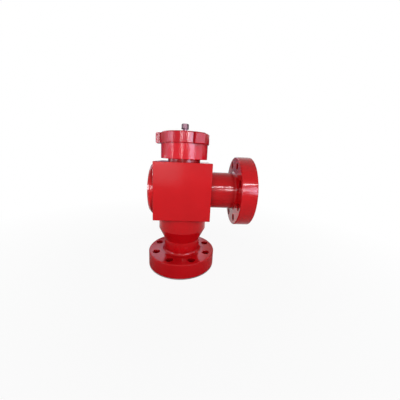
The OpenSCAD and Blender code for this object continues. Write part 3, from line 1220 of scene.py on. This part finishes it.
@dataclass
class Studio:
    """Camera, white world, pale floor, lamps and dark cards."""

    aim: Point = (0.0, 0.0, 0.29)
    ambient: float = 0.2
    floor_drop: float = 0.0004
    floor_size: float = 30.0
    floor_tone: float = 0.5
    floor_glow: float = 0.93
    fade_start: float = 0.35
    fade_length: float = 0.9
    contact_shade: float = 0.93
    shade_start: float = 0.17
    shade_length: float = 0.3
    foot_radius: float = 0.1345
    face_radius: float = 0.077
    foot_step: float = 0.001
    lamps: list[Lamp] = field(default_factory=lambda: [
        Lamp("window_right", at=(37.0, 11.0, 2.2), size=(1.05, 0.8), radiance=23.0, tint=SKYLIGHT),
        Lamp("rim_glint", at=(17.5, 13.0, 2.2), size=(0.26, 0.24), radiance=60.0),
        Lamp("horizon_left", at=(-63.0, 11.6, 2.3), size=(1.2, 0.24), radiance=9.0, tint=SKYLIGHT),
        Lamp(
            "horizon_centre", at=(-6.0, 11.6, 2.3), size=(0.95, 0.24), radiance=6.0, tint=SKYLIGHT
        ),
        Lamp("horizon_right", at=(44.0, 11.6, 2.35), size=(1.9, 0.24), radiance=9.0, tint=SKYLIGHT),
        Lamp("left_glow", at=(-10.0, -1.0, 2.1), size=(0.5, 0.4), radiance=2.6),
        Lamp("sky_left", at=(-75.0, 8.0, 2.2), size=(1.9, 1.2), radiance=2.8, tint=SKYLIGHT),
        Lamp("sky_right", at=(76.0, 8.0, 2.2), size=(1.6, 1.0), radiance=4.2, tint=SKYLIGHT),
        Lamp("sky_back", at=(200.0, 31.0, 2.4), size=(2.2, 1.3), radiance=1.9, tint=SKYLIGHT),
        Lamp("strip_left", at=(-55.5, 8.0, 2.1), size=(0.24, 1.0), radiance=13.0),
        Lamp("strip_centre", at=(-11.5, 11.5, 2.1), size=(0.2, 0.58), radiance=32.0),
        Lamp("strip_top", at=(18.0, 28.5, 2.1), size=(0.75, 0.035), radiance=240.0),
        Lamp("left_edge", at=(-100.0, -1.0, 2.0), size=(0.3, 0.3), radiance=17.0),
        Lamp(
            "softbox", at=(2.0, 10.0, 0.62), size=(0.75, 0.35), radiance=0.96, use=Use.FILL,
            spread=100.0, lift=0.08,
        ),
        Lamp("left_fill", at=(-50.0, 12.0, 1.2), size=(0.8, 0.6), radiance=2.8, use=Use.FILL),
        Lamp("front_fill", at=(44.0, 6.0, 2.5), size=(1.6, 1.2), radiance=3.7, use=Use.FILL),
        Lamp("back_fill", at=(155.0, 12.0, 2.5), size=(2.0, 1.4), radiance=3.0, use=Use.FILL),
    ])
    flags: list[Flag] = field(default_factory=lambda: [
        Flag("left_flag", azimuth=-146.0, width=1.35, tone=(0.20, 0.19, 0.29)),
        Flag("right_flag", azimuth=142.0, width=1.1, tone=(0.08, 0.07, 0.08)),
    ])

    def seen(self, graph: Graph) -> Value:
        """Which rays show the studio.

        Args:
            graph: the graph of the world or of the floor's material.

        Returns:
            1 for rays from the camera, a gloss or a glass, and 0 for those that light the object.
        """
        path = graph.node("ShaderNodeLightPath", {}, {})
        kinds = ("Camera", "Glossy", "Transmission")
        camera, gloss, glass = (Value(graph, path.outputs[f"Is {kind} Ray"]) for kind in kinds)
        return camera.larger(gloss).larger(glass)

    def build_world(self) -> None:
        """A white world that lights the object softly."""
        world = bpy.data.worlds.new("studio")
        world.use_nodes = True
        bpy.context.scene.world = world
        graph = Graph(world.node_tree)
        strength = self.ambient + (1 - self.ambient) * self.seen(graph)
        light = graph.node("ShaderNodeBackground", {}, {"Color": WHITE, "Strength": strength})
        graph.node("ShaderNodeOutputWorld", {}, {"Surface": light.outputs[0]})

    def floor_surface(self, graph: Graph) -> bpy.types.NodeSocket:
        """A pale floor that keeps the valve's shadow, and a dark foot in the valve's gloss.

        It lets light through from below, and under the foot, so that the underside is lit.

        Args:
            graph: the graph of the floor's material.

        Returns:
            The surface.
        """
        x, y, _ = graph.axes(graph.place())
        away = (x * x + y * y) ** 0.5
        beside = away.above(self.foot_radius, self.foot_step)
        gloss = graph.value("ShaderNodeLightPath", "Is Glossy Ray", {}, {})
        fade = ((away - self.fade_start) / self.fade_length).clamped()
        shade = 1 - ((away - self.shade_start) / self.shade_length).clamped()
        glow = self.floor_glow + (1 - self.floor_glow) * fade - self.contact_shade * gloss * shade
        share = self.seen(graph) * beside * glow
        matt = graph.node("ShaderNodeBsdfDiffuse", {}, {"Color": opaque((self.floor_tone,) * 3)})
        white = graph.node("ShaderNodeEmission", {}, {"Color": WHITE, "Strength": 1.0})
        inputs = {0: share, 1: matt.outputs[0], 2: white.outputs[0]}
        floor = graph.node("ShaderNodeMixShader", {}, inputs)
        matt_ray = graph.value("ShaderNodeLightPath", "Is Diffuse Ray", {}, {})
        under_face = gloss * away.below(self.face_radius, self.foot_step)
        under_foot = (matt_ray * (1 - beside)).larger(under_face)
        hidden = graph.value("ShaderNodeNewGeometry", "Backfacing", {}, {}).larger(under_foot)
        clear = graph.node("ShaderNodeBsdfTransparent", {}, {})
        inputs = {0: hidden, 1: floor.outputs[0], 2: clear.outputs[0]}
        return graph.node("ShaderNodeMixShader", {}, inputs).outputs[0]

    def build_floor(self) -> None:
        """The floor, just under the outlet flange."""
        half = self.floor_size / 2
        z = CAD_BOX[0].z - self.floor_drop
        corners = [(-half, -half, z), (half, -half, z), (half, half, z), (-half, half, z)]
        mesh = new_mesh("floor", corners, [(0, 1, 2, 3)])
        floor = new_object("floor", mesh)
        material, graph = new_material("floor")
        graph.node("ShaderNodeOutputMaterial", {}, {"Surface": self.floor_surface(graph)})
        mesh.materials.append(material)

    def build(self) -> None:
        """Everything round the object."""
        bpy.context.scene.view_settings.view_transform = "Standard"
        Camera().build()
        self.build_world()
        self.build_floor()
        for lamp in self.lamps:
            lamp.build(Vector(self.aim))
        for flag in self.flags:
            flag.build()


def main() -> None:
    """Builds the sub-assemblies in order, then the studio."""
    logging.basicConfig(level=logging.INFO, format="%(name)s: %(message)s")
    nodes = frame["nodes"]
    for kind in (ForgedBody, HammerNut, BlankingPlug, VentFitting, BeanSeat, OutletSleeve):
        kind(nodes).build()
        LOG.info("built %s", kind.__name__)
    Studio().build()


if __name__ == "__main__":
    main()
